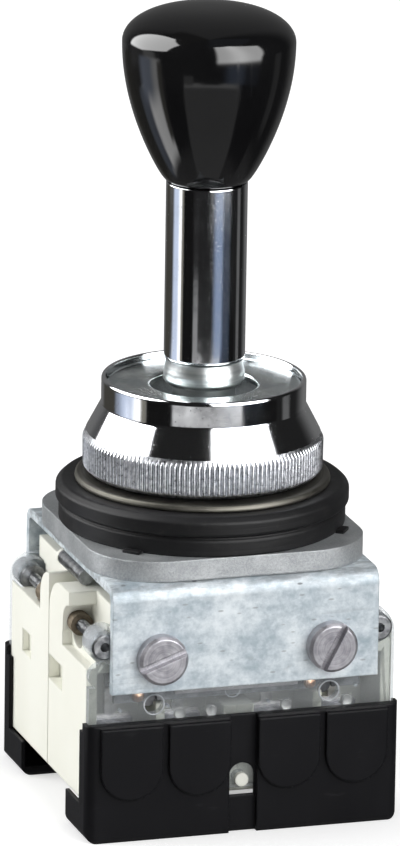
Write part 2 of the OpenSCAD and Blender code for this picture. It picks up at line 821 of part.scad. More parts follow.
module block_cover() {
    ledge_z = -flange_screw_drop - 7.5;
    color([0.85, 0.92, 0.95, 0.4]) difference() {
        union() {
            translate([0, -block_d, 0]) rotate([90, 0, 0]) linear_extrude(cover_t) cover_outline();
            // shrouds round the socket ends of the stacking screws
            for (p = stack_points)
                translate([p.x - sign(p.x) * lobe_inset, 0, p.y])
                    rod_y(lobe_d, -block_d - eps, cover_y + lobe_len);
            // the raised ledge across the middle
            translate([-ledge_w / 2, cover_y - 0.1, ledge_z]) cube([ledge_w, 0.1 + eps, 1.1]);
        }
        for (x = [-1, 1]) {
            translate([x * flange_screw_x / 2, 0, -flange_screw_drop])
                rod_y(flange_shank_d + 0.3, cover_y - 1, 0);
            translate([x * 15.1, 0, -24.4]) rod_y(3.2, cover_y - 1, -block_d + 0.5);
        }
        for (p = stack_points)
            translate([p.x, 0, p.y]) rod_y(socket_d + 0.1, cover_y - 1, 0);
        translate([0, 0, peg_z]) rod_y(peg_d + 0.1, cover_y - 1, 0);
    }
}

// A dark moulded carrier that shows through the clear cover
module contact_carrier() {
    half = terminal_out_x + 1.8;
    low = tab_top - 4.8;
    color("#3a3c40") difference() {
        translate([-half, carrier_y, low]) cube([2 * half, 1.2, 5.6]);
        for (x = [-1, 1])
            translate([x * 15.1, 0, -24.4]) rod_y(2.6, -block_d - 1, 0);
    }
}

// A guard's outline seen from the front, with round lower corners
module guard_face() {
    w = guard_w;
    r = guard_corner_r;
    translate([-w / 2, guard_bottom + r]) square([w, guard_h - r]);
    translate([-w / 2 + r, guard_bottom]) square([w - 2 * r, r + eps]);
    for (x = [-1, 1])
        translate([x * (w / 2 - r), guard_bottom + r]) circle(r);
}

// A guard's plan, with round corners at the front
module guard_plan(depth, inset) {
    w = guard_w - 2 * inset;
    r = guard_corner_r;
    y = guard_y + inset;
    translate([-w / 2, y + r]) square([w, depth - r - inset]);
    translate([-w / 2 + r, y]) square([w - 2 * r, r + eps]);
    for (x = [-1, 1])
        translate([x * (w / 2 - r), y + r]) circle(r);
}

module block_guard() {
    y_in = cover_y - 0.05;
    ends = guard_w / 2 - guard_end_t;
    tray_top = guard_bottom + guard_wall;
    roof = block_bottom - 0.3;
    color("#1b1b1d") difference() {
        union() {
            intersection() {
                translate([0, 0, guard_bottom]) linear_extrude(guard_h) guard_plan(tray_d, 0);
                translate([0, guard_y + tray_d, 0]) rotate([90, 0, 0])
                    linear_extrude(tray_d) guard_face();
            }
            // raised pads over the terminals
            for (x = terminals) {
                translate([x - pad_w / 2, guard_y - pad_out, -guard_drop - pad_h + pad_w / 2])
                    cube([pad_w, pad_out + eps, pad_h - pad_w / 2 - 0.5]);
                translate([x, 0, -guard_drop - pad_h + pad_w / 2])
                    rod_y(pad_w, guard_y - pad_out, guard_y + eps);
            }
        }
        // the hollow that takes the block's lower part
        translate([-ends, y_in, tray_top]) cube([2 * ends, tray_d, guard_h]);
        // ends cut back beside the block, with a step at the top
        translate([-guard_w, guard_y + guard_return, roof]) cube([2 * guard_w, tray_d, guard_h]);
        translate([-guard_w, guard_y + guard_return - 1.6, -guard_drop - 1.6])
            cube([2 * guard_w, tray_d, guard_h]);
        // recessed middle with its arched window over the peg
        translate([-groove_w / 2, guard_y - 1, guard_bottom - 1])
            cube([groove_w, 1 + groove_depth, guard_h + 2]);
        translate([-2.15, guard_y - 2, window_z]) cube([4.3, 6, 3.4]);
        translate([0, 0, window_z + 3.4]) rod_y(4.3, guard_y - 2, guard_y + 4);
    }
}

// The four fixed contacts of a block: a tab under the bridge and a strip down
// to its terminal
module block_contacts() {
    for (side = [-1, 1], inner = [0, 1]) {
        tab_x = side * (stem_xy + (inner == 1 ? -contact_reach : contact_reach));
        end_x = side * (inner == 1 ? terminal_in_x : terminal_out_x);
        color("#b9773f") difference() {
            union() {
                translate([tab_x - 1, strip_y - strip_t, tab_top - strip_t])
                    cube([2, 1.6 - stem_xy - strip_y + strip_t, strip_t]);
                translate([min(tab_x, end_x) - 1, strip_y - strip_t, tab_top - 3])
                    cube([abs(end_x - tab_x) + 2, strip_t, 3]);
                translate([end_x - 1, strip_y - strip_t, terminal_z])
                    cube([2, strip_t, tab_top - terminal_z - eps]);
                translate([end_x - 3.4, strip_y - strip_t, terminal_z - 4])
                    cube([6.8, strip_t, 8]);
            }
            translate([end_x, 0, terminal_z]) rod_y(terminal_shank_d + 0.4, -block_d, 0);
        }
    }
}

module terminal_screws() {
    color("#c2c5c9") for (side = [0, 180], x = terminals)
        rotate(side) translate([x, strip_y - strip_t - clamp_t, terminal_z])
            slotted_screw(terminal_head_d, 2, terminal_shank_d, 4.6 + strip_t + clamp_t, 0);
}

module terminal_clamps() {
    color("#a9adb1") for (side = [0, 180], x = terminals)
        rotate(side) translate([x, strip_y - strip_t - clamp_t, terminal_z]) difference() {
            translate([-clamp_w / 2, 0, -clamp_w / 2]) cube([clamp_w, clamp_t, clamp_w]);
            rod_y(terminal_shank_d + 0.4, -1, clamp_t + 1);
        }
}

// A stacking screw along Y: a socket end at the front, then a threaded shank
module stacking_screw() {
    y0 = cover_y - 0.2;
    y1 = cover_y + socket_len;
    y2 = collar_y - 0.2;
    turns = floor((y2 - y1 - 0.6) / stack_pitch);
    crest = shank_d / 2;
    root = crest - 0.25;
    thread = [for (i = [0 : turns - 1])
        each [[root, y1 + 0.3 + i * stack_pitch], [crest, y1 + 0.3 + (i + 0.5) * stack_pitch]]];
    difference() {
        rotate([-90, 0, 0]) rotate_extrude($fn = 40) polygon(concat(
            [[0, y0], [socket_d / 2 - 0.3, y0], [socket_d / 2, y0 + 0.3], [socket_d / 2, y1]],
            [[root, y1]],
            thread,
            [[root, y2 - 0.2], [crest, y2], [crest, collar_y + 3], [0, collar_y + 3]]
        ));
        rod_y(socket_hole_d, y0 - 1, y0 + socket_hole_len);
    }
}

module stacking_screws() {
    color("#6f7276") for (side = [0, 180], p = stack_points)
        rotate(side) translate([p.x, 0, p.y]) stacking_screw();
}

// Pins that lie across both blocks, under the bracket's top
module cross_pins() {
    color("#b8bbc0") for (side = [0, 180])
        rotate(side) translate([-block_w / 2 + cross_pin_inset, 0, (bracket_under + block_top) / 2])
            rod_y(cross_pin_d, -0.7 * cross_pin_len, 0.3 * cross_pin_len);
}

// Caps on the ends of the cross pins
module cross_pin_caps() {
    color("#f1efe2") for (side = [0, 180])
        rotate(side) translate([-block_w / 2 + cross_pin_inset, 0, (bracket_under + block_top) / 2])
            rod_y(cross_pin_d + 0.1, 0.3 * cross_pin_len + 0.05, 0.3 * cross_pin_len + 0.95);
}

module stacking_collars() {
    color("#b08c62") for (side = [0, 180], p = stack_points)
        rotate(side) translate([p.x, 0, p.y]) difference() {
            rod_y(collar_d, collar_y - collar_len, collar_y - 0.1);
            rod_y(shank_d + 2 * seat_gap, collar_y - collar_len - 1, collar_y);
        }
}

head_casting();
gasket();
thrust_washer();
ring_nut();
cover_washer();
lever_stem();
lever_sleeve();
knob();
knob_insert();
gimbal_ring();
outer_pins();
inner_pin();
actuator_disc();
actuator_screw();
return_spring();
guide_plate();
pusher(0);  // pusher_south
pusher(90);  // pusher_east
pusher(180);  // pusher_north
pusher(270);  // pusher_west
bridge(0, 0);  // bridge_south
bridge(90, 90);  // bridge_east
bridge(180, 0);  // bridge_north
bridge(270, 90);  // bridge_west
pusher_springs();
bracket();
flange_screws();
plate_screws();
block_body();  // front_body
rear() block_body();  // rear_body
block_cover();  // front_cover
rear() block_cover();  // rear_cover
block_guard();  // front_guard
rear() block_guard();  // rear_guard
contact_carrier();  // front_carrier
rear() contact_carrier();  // rear_carrier
block_contacts();  // front_contacts
rear() block_contacts();  // rear_contacts
terminal_screws();
terminal_clamps();
stacking_screws();
stacking_collars();
cross_pins();
cross_pin_caps();
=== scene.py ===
import math

import bmesh
import bpy
import numpy as np
from mathutils import Matrix, Vector


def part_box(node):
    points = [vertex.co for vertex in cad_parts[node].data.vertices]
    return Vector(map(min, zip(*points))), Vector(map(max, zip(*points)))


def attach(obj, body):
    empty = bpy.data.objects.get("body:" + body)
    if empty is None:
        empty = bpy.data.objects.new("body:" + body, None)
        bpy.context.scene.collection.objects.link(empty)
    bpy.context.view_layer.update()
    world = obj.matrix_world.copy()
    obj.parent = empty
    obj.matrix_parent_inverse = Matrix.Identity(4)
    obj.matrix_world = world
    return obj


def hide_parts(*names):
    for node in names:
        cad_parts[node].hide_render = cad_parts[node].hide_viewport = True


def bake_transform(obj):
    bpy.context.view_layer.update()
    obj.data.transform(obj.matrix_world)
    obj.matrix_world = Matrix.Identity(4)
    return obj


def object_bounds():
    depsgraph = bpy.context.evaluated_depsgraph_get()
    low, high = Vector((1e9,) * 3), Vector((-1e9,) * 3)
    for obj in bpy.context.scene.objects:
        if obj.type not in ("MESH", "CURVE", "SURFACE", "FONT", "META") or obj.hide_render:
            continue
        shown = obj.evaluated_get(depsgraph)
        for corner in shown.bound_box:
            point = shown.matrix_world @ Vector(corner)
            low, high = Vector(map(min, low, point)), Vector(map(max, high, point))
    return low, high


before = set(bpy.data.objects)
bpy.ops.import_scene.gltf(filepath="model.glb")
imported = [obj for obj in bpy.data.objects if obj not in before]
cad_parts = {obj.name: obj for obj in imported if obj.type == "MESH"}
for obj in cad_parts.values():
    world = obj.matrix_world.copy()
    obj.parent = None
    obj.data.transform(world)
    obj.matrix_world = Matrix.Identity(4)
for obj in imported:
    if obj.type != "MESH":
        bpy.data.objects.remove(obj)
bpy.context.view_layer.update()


# ---------------------------------------------------------------------------
# Base casting: a square zinc plate and a threaded bushing in one die casting.
# It is left as cast, pale grey with a fine grain, and bright on its edges.
# ---------------------------------------------------------------------------
class Wire:
    """A shader socket. Its operators add Math nodes, and node() adds any other."""

    def __init__(self, socket):
        self.socket = socket
        self.tree = socket.id_data

    def node(self, kind, put=None, out=0, stops=None, **settings):
        """The out-th output of a new node: its settings and ramp stops are set
        first, then its sockets."""
        made = self.tree.nodes.new("ShaderNode" + kind)
        for key, value in settings.items():
            setattr(made, key, value)
        if stops:
            ramp = made.color_ramp.elements
            while len(ramp) < len(stops):
                ramp.new(0.5)
            for element, (place, shade) in zip(ramp, stops):
                element.position = place
                grey = isinstance(shade, (int, float))
                element.color = (shade, shade, shade, 1) if grey else (*shade, 1)
        for key, value in (put or {}).items():
            if isinstance(value, Wire):
                self.tree.links.new(value.socket, made.inputs[key])
            else:
                made.inputs[key].default_value = value
        return Wire(made.outputs[out])

    def math(self, operation, *values, **settings):
        return self.node("Math", dict(enumerate(values)), operation=operation, **settings)

    def __add__(self, other):
        return self.math("ADD", self, other)

    def __sub__(self, other):
        return self.math("SUBTRACT", self, other)

    def __rsub__(self, other):
        return self.math("SUBTRACT", other, self)

    def __mul__(self, other):
        return self.math("MULTIPLY", self, other)

    def __truediv__(self, other):
        return self.math("DIVIDE", self, other)

    def __pow__(self, other):
        return self.math("POWER", self, other)

    def __abs__(self):
        return self.math("ABSOLUTE", self)

    __radd__ = __add__
    __rmul__ = __mul__

    def between(self, low, high):
        """0 below low and 1 above high, smooth in between."""
        ends = {0: self, 1: low, 2: high}
        return self.node("MapRange", ends, interpolation_type="SMOOTHSTEP")

    def noise(self, scale, detail=3.0, rough=0.55, stretch=(1, 1, 1)):
        """Noise of about 0 to 1 on this vector, with scale features to the metre."""
        place = self.node("Mapping", {0: self, 3: stretch})
        put = {"Vector": place, "Scale": scale, "Detail": detail, "Roughness": rough}
        return self.node("TexNoise", put)

    def cells(self, scale, feature="F1", stretch=(1, 1, 1)):
        """Distance to the nearest of scattered points."""
        place = self.node("Mapping", {0: self, 3: stretch})
        return self.node("TexVoronoi", {"Vector": place, "Scale": scale}, feature=feature)

    def tint(self, low, high):
        """Colour low where this is 0, and high where it is 1."""
        return self.blend_colours((*low, 1), (*high, 1))

    def blend_colours(self, low, high):
        """The same between two colours of four values, or two wires."""
        return self.node("Mix", {0: self, 6: low, 7: high}, out=2, data_type="RGBA")


def start_finish(name):
    """A new material with one Principled shader, its object coordinates and that shader."""
    material = bpy.data.materials.new(name)
    material.use_nodes = True
    tree = material.node_tree
    tree.nodes.clear()
    shader = tree.nodes.new("ShaderNodeBsdfPrincipled")
    output = tree.nodes.new("ShaderNodeOutputMaterial")
    tree.links.new(shader.outputs[0], output.inputs[0])
    place = Wire(tree.nodes.new("ShaderNodeTexCoord").outputs["Object"])
    return material, place, shader


def settle(shader, colour=None, rough=None, height=None, depth=0.00002, round_edge=0.0, **fixed):
    """Links what varies to the shader: colour, roughness, and a height that becomes
    a bump of depth metres. round_edge softens sharp edges by that radius."""
    tree = shader.id_data
    for key, wire in (("Base Color", colour), ("Roughness", rough)):
        if isinstance(wire, Wire):
            tree.links.new(wire.socket, shader.inputs[key])
        elif wire is not None:
            shader.inputs[key].default_value = wire
    for key, value in fixed.items():
        shader.inputs[key.replace("_", " ")].default_value = value
    edge = None
    if round_edge:
        edge = tree.nodes.new("ShaderNodeBevel")
        edge.samples = 4
        edge.inputs["Radius"].default_value = round_edge
    if height is not None:
        bump = tree.nodes.new("ShaderNodeBump")
        bump.inputs["Strength"].default_value = 1.0
        bump.inputs["Distance"].default_value = depth
        tree.links.new(height.socket, bump.inputs["Height"])
        if edge:
            tree.links.new(edge.outputs[0], bump.inputs["Normal"])
        tree.links.new(bump.outputs[0], shader.inputs["Normal"])
    elif edge:
        tree.links.new(edge.outputs[0], shader.inputs["Normal"])


def dress(material, *nodes):
    """Puts the material on CAD nodes."""
    for name in nodes:
        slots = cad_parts[name].material_slots
        for one in slots:
            one.material = material


cast_zinc, at, shader = start_finish("cast_zinc")
grain = at.noise(2600, 4, 0.7)
cloud = at.noise(160, 3)
skin = (grain * 0.5 + cloud * 0.5).between(0.32, 0.7)
settle(shader, skin.tint((0.26, 0.275, 0.285), (0.46, 0.475, 0.485)),
       0.36 + grain * 0.22, grain + cloud, 0.00006, 0.00035, Metallic=0.5)
dress(cast_zinc, "head_casting")


# ---------------------------------------------------------------------------
# Panel gasket: a thick moulded rubber ring with a waist above its foot.
# It is black, with a dull sheen and fine lines round it from the mould.
# ---------------------------------------------------------------------------
def fillet(points, radius, steps=4):
    """The polyline with round corners: each corner is cut back by radius on both
    sides, and the two cuts are joined by the parabola that the corner pulls. One
    more point on each side keeps the straight run beside it flat."""
    points = np.asarray(points, float)
    path = [points[:1]]
    t = np.linspace(0, 1, steps + 1)[:, None]
    for before, corner, after in zip(points[:-2], points[1:-1], points[2:]):
        back, ahead = before - corner, after - corner
        cut_back, cut_ahead = (radius / (np.linalg.norm(way) + 1e-9) for way in (back, ahead))
        a = corner + back * min(0.46, cut_back)
        b = corner + ahead * min(0.46, cut_ahead)
        hold_a = corner + back * min(0.48, cut_back * 1.3)
        hold_b = corner + ahead * min(0.48, cut_ahead * 1.3)
        bend = (1 - t) ** 2 * a + 2 * t * (1 - t) * corner + t ** 2 * b
        path += [hold_a[None], bend, hold_b[None]]
    path.append(points[-1:])
    return np.concatenate(path)


def piece(name, body, material, parts, sharp=32):
    """One object from surfaces in millimetres. Each is (grid, wraps along u, wraps
    along v), and a grid has a point for each pair of u and v. With body None the
    caller says what the piece follows."""
    points, faces, start = [], [], 0
    for grid, wrap_u, wrap_v in parts:
        rows, columns = grid.shape[:2]
        u = np.arange(rows if wrap_u else rows - 1)
        v = np.arange(columns if wrap_v else columns - 1)
        u, v = (m.ravel() for m in np.meshgrid(u, v, indexing="ij"))
        right, up = (u + 1) % rows, (v + 1) % columns
        here, beside = u * columns, right * columns
        quads = np.stack([here + v, beside + v, beside + up, here + up], 1)
        faces.append(quads + start)
        points.append(grid.reshape(-1, 3) * 0.001)
        start += rows * columns
    mesh = bpy.data.meshes.new(name)
    mesh.from_pydata(np.concatenate(points).tolist(), [], np.concatenate(faces).tolist())
    work = bmesh.new()
    work.from_mesh(mesh)
    bmesh.ops.remove_doubles(work, verts=work.verts, dist=1e-7)
    bmesh.ops.recalc_face_normals(work, faces=work.faces)
    work.to_mesh(mesh)
    work.free()
    mesh.shade_smooth()
    mesh.set_sharp_from_angle(angle=math.radians(sharp))
    mesh.materials.append(material)
    made = bpy.data.objects.new(name, mesh)
    bpy.context.scene.collection.objects.link(made)
    if body:
        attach(made, body)
    return made


def turned(profile, turns=144, reach=None):
    """A profile of (radius, height) pairs carried round Z, as one grid. reach may
    change the radii: it gets the angles and the profile's radii and heights."""
    angle = np.linspace(0, 2 * math.pi, turns, endpoint=False)[:, None]
    radius = np.broadcast_to(profile[:, 0], (turns, len(profile)))
    height = profile[:, 1]
    if reach:
        radius = reach(angle, radius, height)
    height = np.broadcast_to(height, radius.shape)
    return np.stack([radius * np.cos(angle), radius * np.sin(angle), height], 2)


def capped(grid):
    """The grid with its first and last rows closed to a point at their middle."""
    first, last = (row.mean(1, keepdims=True) + 0 * row for row in (grid[:1], grid[-1:]))
    return np.concatenate([first, grid, last])


rubber, at, shader = start_finish("moulded_rubber")
high = at.node("SeparateXYZ", {0: at}, out=2)
lines = high.node("CombineXYZ", {2: high, 0: at.noise(30) * 0.0006}).noise(1500, 2)
dust = at.noise(420, 5, 0.7)
settle(shader, dust.between(0.5, 0.8).tint((0.006, 0.006, 0.0065), (0.017, 0.0165, 0.016)),
       0.36 + dust * 0.24, lines + dust * 0.4, 0.00005, Specular_IOR_Level=0.22)

foot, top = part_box("gasket")
gasket_bore, foot_r, waist_r, lip = 15.2, 23.85, 23.5, 24.4
low, high_z = foot.z * 1000, top.z * 1000
tall = high_z - low
ring = fillet([(gasket_bore, low), (foot_r, low), (foot_r, low + tall * 0.4),
               (waist_r, low + tall * 0.45), (waist_r, low + tall * 0.49),
               (lip, low + tall * 0.54), (lip, high_z - 0.9), (lip - 1.0, high_z),
               (gasket_bore, high_z), (gasket_bore, low)], 0.35)
parts = [(turned(ring, 160), True, False)]
# two flat nibs stand out from the foot
nib_half, nib_tall = 1.6, 0.5
for direction in (225, 325):
    a, across = math.radians(direction), np.array([-1, 1, 1, -1, -1]) * nib_half
    rise = low + np.array([0, 0, nib_tall, nib_tall, 0])
    round_it = fillet(np.stack([across, rise], 1), 0.25)
    out = np.array([22.9, 25.0, 25.1])[:, None]
    shrink = np.array([1, 1, 0.86])[:, None]
    nib = np.stack([out * math.cos(a) - round_it[:, 0] * shrink * math.sin(a),
                    out * math.sin(a) + round_it[:, 0] * shrink * math.cos(a),
                    low + (round_it[:, 1] - low) * shrink + 0 * out], 2)
    parts.append((capped(nib), False, False))
gasket = piece("gasket_ring", "base", rubber, parts)
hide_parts("gasket")


# ---------------------------------------------------------------------------
# Thrust washer: a pressed steel ring with a rolled edge, which the ring nut
# pulls down on the gasket. Its face is brushed in circles.
# ---------------------------------------------------------------------------
def circles(place, scale):
    """Noise that is the same all round the lever axis, as a turning tool leaves it."""
    x, y, z = (place.node("SeparateXYZ", {0: place}, out=i) for i in range(3))
    return place.node("CombineXYZ", {0: (x * x + y * y) ** 0.5, 2: z}).noise(scale, 3, 0.6)


washer_steel, at, shader = start_finish("brushed_washer")
brush = circles(at, 3200)
wear = at.noise(260, 4)
face = (brush * 0.6 + wear * 0.4).between(0.3, 0.7)
settle(shader, face.tint((0.055, 0.053, 0.045), (0.13, 0.125, 0.11)),
       0.36 + wear * 0.2, brush, 0.00002, Metallic=1.0)
low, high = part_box("thrust_washer")
low_z, top_z, edge, washer_bore = low.z * 1000, high.z * 1000, high.x * 1000, 15.3
rolled = fillet([(washer_bore, low_z), (edge - 0.1, low_z), (edge, low_z + 0.4),
                 (edge - 0.25, top_z - 0.1), (edge - 0.9, top_z), (washer_bore, top_z),
                 (washer_bore, low_z)], 0.3, 5)
thrust = piece("thrust_ring", "base", washer_steel, [(turned(rolled, 160), True, False)])
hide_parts("thrust_washer")


# ---------------------------------------------------------------------------
# Ring nut: a turned and chromed nut with a knurled band to turn it by hand.
# The chrome is a mirror on the cone and the rim, and frosted on the knurl.
# ---------------------------------------------------------------------------
chrome, at, shader = start_finish("polished_chrome")
ripple = at.noise(220, 2)
pits = at.cells(1500).between(0.10, 0.16)
haze = at.noise(90, 4, 0.6).between(0.45, 0.75)
settle(shader, (1 - pits * (1 - haze * 0.5)).tint((0.80, 0.81, 0.83), (0.55, 0.56, 0.58)),
       0.065 + haze * 0.06, ripple + pits * 0.25, 0.000012, Metallic=1.0)

knurl_chrome, at, shader = start_finish("frosted_knurl")
frost = at.noise(1500, 3, 0.7)
speck = at.cells(1900).between(0.18, 0.42)
settle(shader, frost.between(0.35, 0.7).tint((0.42, 0.43, 0.46), (0.74, 0.75, 0.78)),
       0.20 + frost * 0.2, frost + speck * 0.4, 0.00002, Metallic=1.0)

nut_low, nut_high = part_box("ring_nut")
nut_z, nut_top = nut_low.z * 1000, nut_high.z * 1000
knurl_top, knurl_r, teeth, tooth_depth = nut_z + 6.0, 20.0, 150, 0.42
rim_r, rim_foot, rim_inner, rim_deep = 17.0, nut_top - 4.7, 16.2, 2.4
nut_bore, band_end = 15.1, (19.45, knurl_top + 0.6)


def knurl(angle, radius, height):
    """The smaller of the turned radius and a wave round the axis: tips at the
    nut's full radius, round valleys one tooth depth lower."""
    wave = knurl_r - tooth_depth * (1 - np.abs(np.sin(angle * teeth / 2)) ** 0.8)
    return np.minimum(radius, wave)


band = np.concatenate([
    [(nut_bore, nut_z), (19.2, nut_z)],
    fillet([(19.2, nut_z), (19.95, nut_z + 0.75), (knurl_r, knurl_top - 0.7)], 0.2, 2),
    [(19.95, knurl_top - 0.55), (19.85, knurl_top - 0.35), (19.75, knurl_top - 0.15),
     (19.65, knurl_top + 0.1), (19.55, knurl_top + 0.35), band_end]])
cone = fillet([band_end, (rim_r + 0.3, rim_foot - 0.4), (rim_r, rim_foot + 0.15),
               (rim_r, nut_top - 0.35), (rim_r - 0.35, nut_top), (rim_inner, nut_top - 0.1),
               (rim_inner, nut_top - rim_deep), (nut_bore, nut_top - rim_deep),
               (nut_bore, nut_z)], 0.28, 5)
knurled = piece("knurled_band", "base", knurl_chrome,
                [(turned(band, teeth * 8, knurl), True, False)], 60)
piece("nut_cone", "base", chrome, [(turned(cone, 192), True, False)])
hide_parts("ring_nut")


# ---------------------------------------------------------------------------
# Cover washer: a loose plate under the rim that keeps dirt out, held in the
# middle here. It is nickelled steel, rolled round its hole.
# ---------------------------------------------------------------------------
nickel_plate, at, shader = start_finish("nickel_plate")
brush = circles(at, 2600)
stain = at.noise(140, 4, 0.65)
settle(shader, stain.between(0.35, 0.7).tint((0.60, 0.66, 0.67), (0.86, 0.90, 0.90)),
       0.16 + brush * 0.10 + stain * 0.08, brush, 0.000012, Metallic=1.0)
low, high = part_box("cover_washer")
low_z, top_z, edge, hole = low.z * 1000, high.z * 1000, high.x * 1000, 8.9
slide = fillet([(hole, low_z), (edge, low_z), (edge, top_z - 0.15), (edge - 0.3, top_z),
                (hole + 0.4, top_z), (hole, top_z - 0.35), (hole, low_z)], 0.3, 4)
cover_plate = piece("slide_washer", "base", nickel_plate,
                    [(turned(slide, 144), True, False)])
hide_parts("cover_washer")


# ---------------------------------------------------------------------------
# Lever: a turned steel stem with a round bead where it leaves the nut, and a
# chromed sleeve over it. The sleeve is ground and polished along its length.
# ---------------------------------------------------------------------------
turned_steel, at, shader = start_finish("turned_steel")
brush = circles(at, 2400)
stain = at.noise(200, 3)
face = (brush * 0.5 + stain * 0.5).between(0.3, 0.7)
settle(shader, face.tint((0.46, 0.50, 0.51), (0.74, 0.76, 0.75)),
       0.24 + brush * 0.14, brush, 0.00002, Metallic=1.0)

sleeve_low, sleeve_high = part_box("lever_sleeve")
sleeve_z, sleeve_top, sleeve_r = sleeve_low.z * 1000, sleeve_high.z * 1000, sleeve_high.x * 1000
stem_low, stem_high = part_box("lever_stem")
stem_foot, stem_top = stem_low.z * 1000, stem_high.z * 1000
bead_h, pivot, eye_half, eye_r, neck_r = 4.2, 15.0, 3, 6.3, 5.2
bead_z = sleeve_z - bead_h
shank = fillet([(0, stem_foot), (3, stem_foot), (3, 10), (4, 10), (4, pivot - eye_half),
                (eye_r, pivot - eye_half), (eye_r, pivot + eye_half),
                (neck_r, pivot + eye_half), (neck_r, bead_z)], 0.15, 2)
t = np.radians(np.linspace(-75, 0, 9))
round_foot = np.stack([sleeve_r - 1 + np.cos(t), bead_z + 1 + np.sin(t)], 1)
t = np.linspace(0, 90, 14)
groove = np.stack([sleeve_r - 0.38 * np.sin(np.radians(t)) ** 1.5,
                   bead_z + bead_h * (0.45 + 0.55 * t / 90)], 1)
upper = np.array([(sleeve_r - 0.42, sleeve_z), (5, sleeve_z), (5, sleeve_top), (3.5, sleeve_top),
                  (3.5, stem_top), (0, stem_top)])
outline = np.concatenate([shank, [(sleeve_r - 1, bead_z)], round_foot, groove, upper])
stem = piece("lever_core", "lever", turned_steel, [(turned(outline, 128), True, False)])
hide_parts("lever_stem")

sleeve_bore = 5.05
tube = fillet([(sleeve_bore, sleeve_z), (sleeve_r - 0.3, sleeve_z), (sleeve_r, sleeve_z + 0.6),
               (sleeve_r, sleeve_top - 0.1), (sleeve_bore, sleeve_top),
               (sleeve_bore, sleeve_z)], 0.2, 4)
sleeve = piece("chrome_sleeve", "lever", chrome, [(turned(tube, 160), True, False)])
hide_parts("lever_sleeve")


# ---------------------------------------------------------------------------
# Knob: a pear-shaped grip moulded in black thermoset on a brass insert.
# It is polished, with a faint ripple and a few hairlines from the hand.
# ---------------------------------------------------------------------------
black_gloss, at, shader = start_finish("polished_black")
ripple = at.noise(130, 2)
hairs = at.noise(700, 2, 0.5, (1, 1, 0.06)).between(0.62, 0.68)
bloom = at.noise(60, 4, 0.6)
settle(shader, bloom.between(0.3, 0.8).tint((0.0045, 0.0045, 0.005), (0.0075, 0.0075, 0.008)),
       0.05 + bloom * 0.04 + hairs * 0.05, ripple + hairs * 0.02, 0.00001, Specular_IOR_Level=0.6)
low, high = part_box("knob")
knob_z, knob_top, knob_r = low.z * 1000, high.z * 1000 - 0.45, high.x * 1000
flare_h, foot_r = 23.5, 6.9
t = np.linspace(0, 1, 42)
flare = np.stack([foot_r + (knob_r - foot_r) * np.sin(t * math.pi / 2) ** 0.82,
                  knob_z + 0.3 + (flare_h - 0.3) * t], 1)
a = np.radians(np.linspace(2, 90, 46))
shoulder = knob_z + flare_h
dome = np.stack([knob_r * np.abs(np.cos(a)) ** (2 / 2.5),
                 shoulder + (knob_top - shoulder) * np.sin(a)], 1)
dome[-1, 0] = 0
pear = np.concatenate([[(0, knob_z), (foot_r - 0.5, knob_z)], flare, dome])
grip = piece("grip", "lever", black_gloss, [(turned(pear, 160), True, False)])
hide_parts("knob")
dress(turned_steel, "knob_insert")


# ---------------------------------------------------------------------------
# Gimbal and actuator: a steel ring on crossed pins, and under it the disc
# that presses the four pushers. All are plain turned parts, lightly oiled.
# ---------------------------------------------------------------------------
dress(turned_steel, "gimbal_ring", "outer_pins", "inner_pin", "actuator_disc", "actuator_screw")
spring_wire, at, shader = start_finish("spring_wire")
drawn = at.noise(1800, 3)
settle(shader, drawn.between(0.3, 0.7).tint((0.30, 0.31, 0.33), (0.52, 0.53, 0.55)),
       0.25 + drawn * 0.2, drawn, 0.00001, Metallic=1.0)


def spring(name, x, y, low, high, mean_r, wire_r):
    """A coil of four turns of round wire, whose height grows with its angle."""
    s = np.linspace(0, 1, 97)[:, None]
    b = np.linspace(0, 2 * math.pi, 10, endpoint=False)[None]
    out, turn = mean_r + wire_r * np.cos(b), 8 * math.pi * s
    rise = low + wire_r * (1 + np.sin(b)) + (high - low - 2 * wire_r) * s
    coil = np.stack([x + out * np.cos(turn), y + out * np.sin(turn), rise], 2)
    made = piece(name, None, spring_wire, [(capped(coil), False, True)])
    foot, top = ((x / 1000, y / 1000, end / 1000) for end in (low, high))
    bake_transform(made)
    return made


# the return spring ends just under the head of the actuator screw
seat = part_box("return_spring")[0].z * 1000
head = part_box("actuator_screw")[0].z * 1000 - 0.05
made = spring("return_coil", 0, 0, seat, head, 2.75, 0.35)
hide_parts("return_spring")
low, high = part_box("pusher_springs")
stem_xy = 6.2
outer = high.x * 1000 - stem_xy
for side_name, x, y in (("south", -1, -1), ("east", 1, -1), ("north", 1, 1), ("west", -1, 1)):
    made = spring("coil_" + side_name, x * stem_xy, y * stem_xy, low.z * 1000, high.z * 1000,
                  outer * 0.87, outer * 0.12)
    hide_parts("pusher_springs")


# ---------------------------------------------------------------------------
# Bracket: a bridge of zinc-plated sheet steel that hangs the two contact
# blocks under the base. The plating is bluish, mottled and lightly scratched.
# ---------------------------------------------------------------------------
zinc_sheet, at, shader = start_finish("zinc_plated_sheet")
mottle = at.noise(110, 5, 0.62, (1, 1, 1.4))
fine = at.noise(900, 4, 0.65)
drag = at.noise(420, 3, 0.6, (0.08, 0.08, 1)).between(0.60, 0.70)
marks = at.cells(700, stretch=(0.35, 0.35, 1)).between(0.07, 0.16)
blot = at.noise(330, 3).between(0.66, 0.76)
tone = (mottle * 0.7 + fine * 0.3).between(0.33, 0.66)
shade = tone.tint((0.34, 0.41, 0.46), (0.76, 0.81, 0.84))
high = at.node("SeparateXYZ", {0: at}, out=2)
# darker patches, broken up by noise, on the upper part of the bracket
top_darkening = high.between(-0.0075, -0.0035) * at.noise(650, 4, 0.7, (0.25, 1, 1)).between(0.40, 0.62)
dirt_and_top_darkening = (1 - marks) * 0.55 + blot * 0.35 + top_darkening * 0.62 + drag * 0.2
